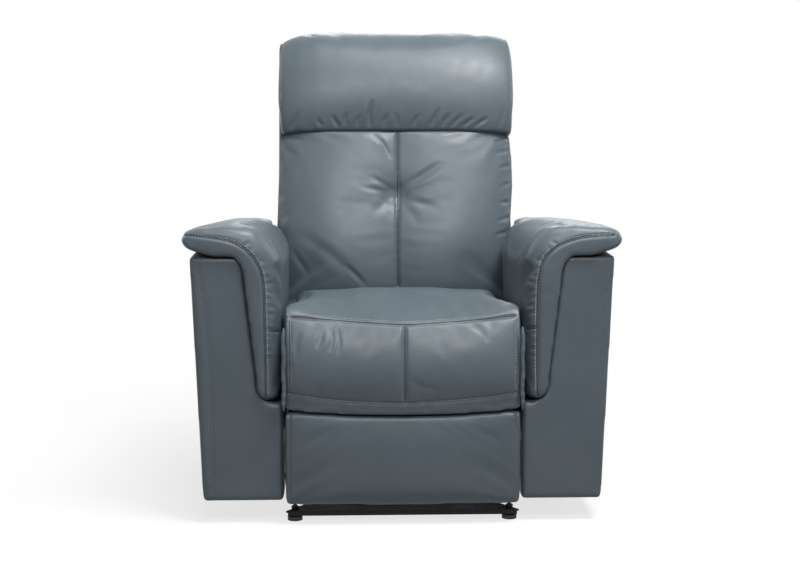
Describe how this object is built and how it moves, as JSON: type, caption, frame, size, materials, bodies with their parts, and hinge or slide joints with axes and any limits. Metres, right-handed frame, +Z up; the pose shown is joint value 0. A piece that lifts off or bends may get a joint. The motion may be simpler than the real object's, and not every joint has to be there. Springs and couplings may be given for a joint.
{
  "type": "recliner",
  "caption": "Leather-covered swivel glider recliner with padded arms, a reclining back, a fold-out footrest and a low levelled floor base.",
  "frame": {"origin": "centre of the overall box, on the floor", "axes": "+Z up, -Y out of the seat front, +X to the viewer's right as seen from the front"},
  "size_m": [0.928, 0.8798, 1.0559],
  "materials": {
    "leather": "semi-gloss blue-grey leather",
    "frame_wood": "plain board",
    "webbing": "woven elastic",
    "black_plastic": "matte",
    "foot_rubber": "matte",
    "zinc_steel": "zinc plated",
    "black_steel": "satin black"
  },
  "bodies": {
    "floor_base": {"base_front_bar": "black_steel", "base_rear_bar": "black_steel", "base_rail_left": "black_steel", "base_rail_right": "black_steel", "foot_lock_nuts": "zinc_steel", "swivel_base_plate": "black_steel", "king_bolt": "zinc_steel"},
    "foot_front_left": {"foot_front_left": "foot_rubber"},
    "foot_front_right": {"foot_front_right": "foot_rubber"},
    "foot_rear_left": {"foot_rear_left": "foot_rubber"},
    "foot_rear_right": {"foot_rear_right": "foot_rubber"},
    "turntable": {"swivel_top_plate": "black_steel", "glider_bracket_front": "black_steel", "glider_bracket_rear": "black_steel"},
    "glide_links_front": {"glide_link_front_left": "zinc_steel", "glide_link_front_right": "zinc_steel"},
    "glide_links_rear": {"glide_link_rear_left": "zinc_steel", "glide_link_rear_right": "zinc_steel"},
    "chassis": {"side_plate_left": "black_steel", "side_plate_right": "black_steel", "chassis_tube_front": "black_steel", "chassis_tube_rear": "black_steel", "seat_frame": "frame_wood", "seat_webbing": "webbing", "seat_cushion": "leather", "arm_cover_left": "leather", "arm_cover_right": "leather", "arm_frame_left": "frame_wood", "arm_frame_right": "frame_wood", "arm_pad_left": "leather", "arm_pad_right": "leather", "arm_bracket_left": "black_steel", "arm_bracket_right": "black_steel", "release_cup": "black_plastic", "release_cable": "black_plastic", "latch_housing": "black_plastic"},
    "back": {"back_bracket_left": "black_steel", "back_bracket_right": "black_steel", "back_frame": "frame_wood", "back_webbing": "webbing", "back_cushion": "leather", "head_cushion": "leather", "back_outer_shell": "leather"},
    "footrest": {"footrest_bracket_left": "black_steel", "footrest_bracket_right": "black_steel", "footrest_board": "frame_wood", "footrest_pad": "leather"},
    "footrest_links_a": {"footrest_link_a_left": "zinc_steel", "footrest_link_a_right": "zinc_steel"},
    "footrest_links_b": {"footrest_link_b_left": "zinc_steel", "footrest_link_b_right": "zinc_steel"},
    "footrest_links_c": {"footrest_link_c_left": "zinc_steel", "footrest_link_c_right": "zinc_steel"},
    "footrest_links_d": {"footrest_link_d_left": "zinc_steel", "footrest_link_d_right": "zinc_steel"},
    "release_lever": {"release_lever": "black_plastic"}
  },
  "joints": [
    {"name": "swivel", "type": "hinge", "parent": "floor_base", "child": "turntable", "pos_m": [0, -0.03991, 0.04], "axis": [0, 0, 1], "continuous": true},
    {"name": "glide_front_links", "type": "hinge", "parent": "turntable", "child": "glide_links_front", "pos_m": [0, -0.1899, 0.2], "axis": [-1, 0, 0], "range_deg": [-27.01, 27.01]},
    {"name": "glide", "type": "hinge", "parent": "glide_links_front", "child": "chassis", "pos_m": [0, -0.1899, 0.09], "axis": [-1, 0, 0], "range_deg": [-27, 27]},
    {"name": "glide_rear_links", "type": "hinge", "parent": "turntable", "child": "glide_links_rear", "pos_m": [0, 0.11009, 0.2], "axis": [-1, 0, 0], "range_deg": [-27.01, 27.01]},
    {"name": "back_recline", "type": "hinge", "parent": "chassis", "child": "back", "pos_m": [0, 0.16009, 0.25], "axis": [-1, 0, 0], "range_deg": [0, 35]},
    {"name": "footrest_extend", "type": "hinge", "parent": "footrest_links_b", "child": "footrest", "pos_m": [0, -0.34491, 0.196], "axis": [-1, 0, 0], "range_deg": [0, 100.34]},
    {"name": "footrest_link_a_pivot", "type": "hinge", "parent": "chassis", "child": "footrest_links_a", "pos_m": [0, -0.33691, 0.2], "axis": [-1, 0, 0], "range_deg": [0, 117.01]},
    {"name": "footrest_link_b_pivot", "type": "hinge", "parent": "footrest_links_a", "child": "footrest_links_b", "pos_m": [0, -0.28446, 0.07019], "axis": [-1, 0, 0], "range_deg": [-133.35, 0]},
    {"name": "footrest_link_c_pivot", "type": "hinge", "parent": "chassis", "child": "footrest_links_c", "pos_m": [0, -0.309, 0.2006], "axis": [-1, 0, 0], "range_deg": [0, 115.44]},
    {"name": "footrest_link_d_pivot", "type": "hinge", "parent": "footrest_links_c", "child": "footrest_links_d", "pos_m": [0, -0.23936, 0.07089], "axis": [-1, 0, 0], "range_deg": [-134.55, 0]},
    {"name": "release_pull", "type": "hinge", "parent": "chassis", "child": "release_lever", "pos_m": [-0.42485, -0.14491, 0.395], "axis": [0, 0, 1], "range_deg": [0, 25], "stiffness_Nm_per_rad": 0.6},
    {"name": "level_front_left", "type": "hinge", "parent": "floor_base", "child": "foot_front_left", "pos_m": [-0.231, -0.3649, 0.02], "axis": [0, 0, 1], "continuous": true},
    {"name": "level_rear_left", "type": "hinge", "parent": "floor_base", "child": "foot_rear_left", "pos_m": [-0.231, 0.28509, 0.02], "axis": [0, 0, 1], "continuous": true},
    {"name": "level_front_right", "type": "hinge", "parent": "floor_base", "child": "foot_front_right", "pos_m": [0.231, -0.3649, 0.02], "axis": [0, 0, 1], "continuous": true},
    {"name": "level_rear_right", "type": "hinge", "parent": "floor_base", "child": "foot_rear_right", "pos_m": [0.231, 0.28509, 0.02], "axis": [0, 0, 1], "continuous": true}
  ],
  "couplings": [
    {"joint": "glide_front_links", "follows": "glide", "ratio": -1},
    {"joint": "glide_rear_links", "follows": "glide", "ratio": -1},
    {"joint": "footrest_link_a_pivot", "follows": "footrest_extend", "ratio": 1.1661},
    {"joint": "footrest_link_b_pivot", "follows": "footrest_extend", "ratio": -1.3289},
    {"joint": "footrest_link_c_pivot", "follows": "footrest_extend", "ratio": 1.1504},
    {"joint": "footrest_link_d_pivot", "follows": "footrest_extend", "ratio": -1.3409}
  ]
}
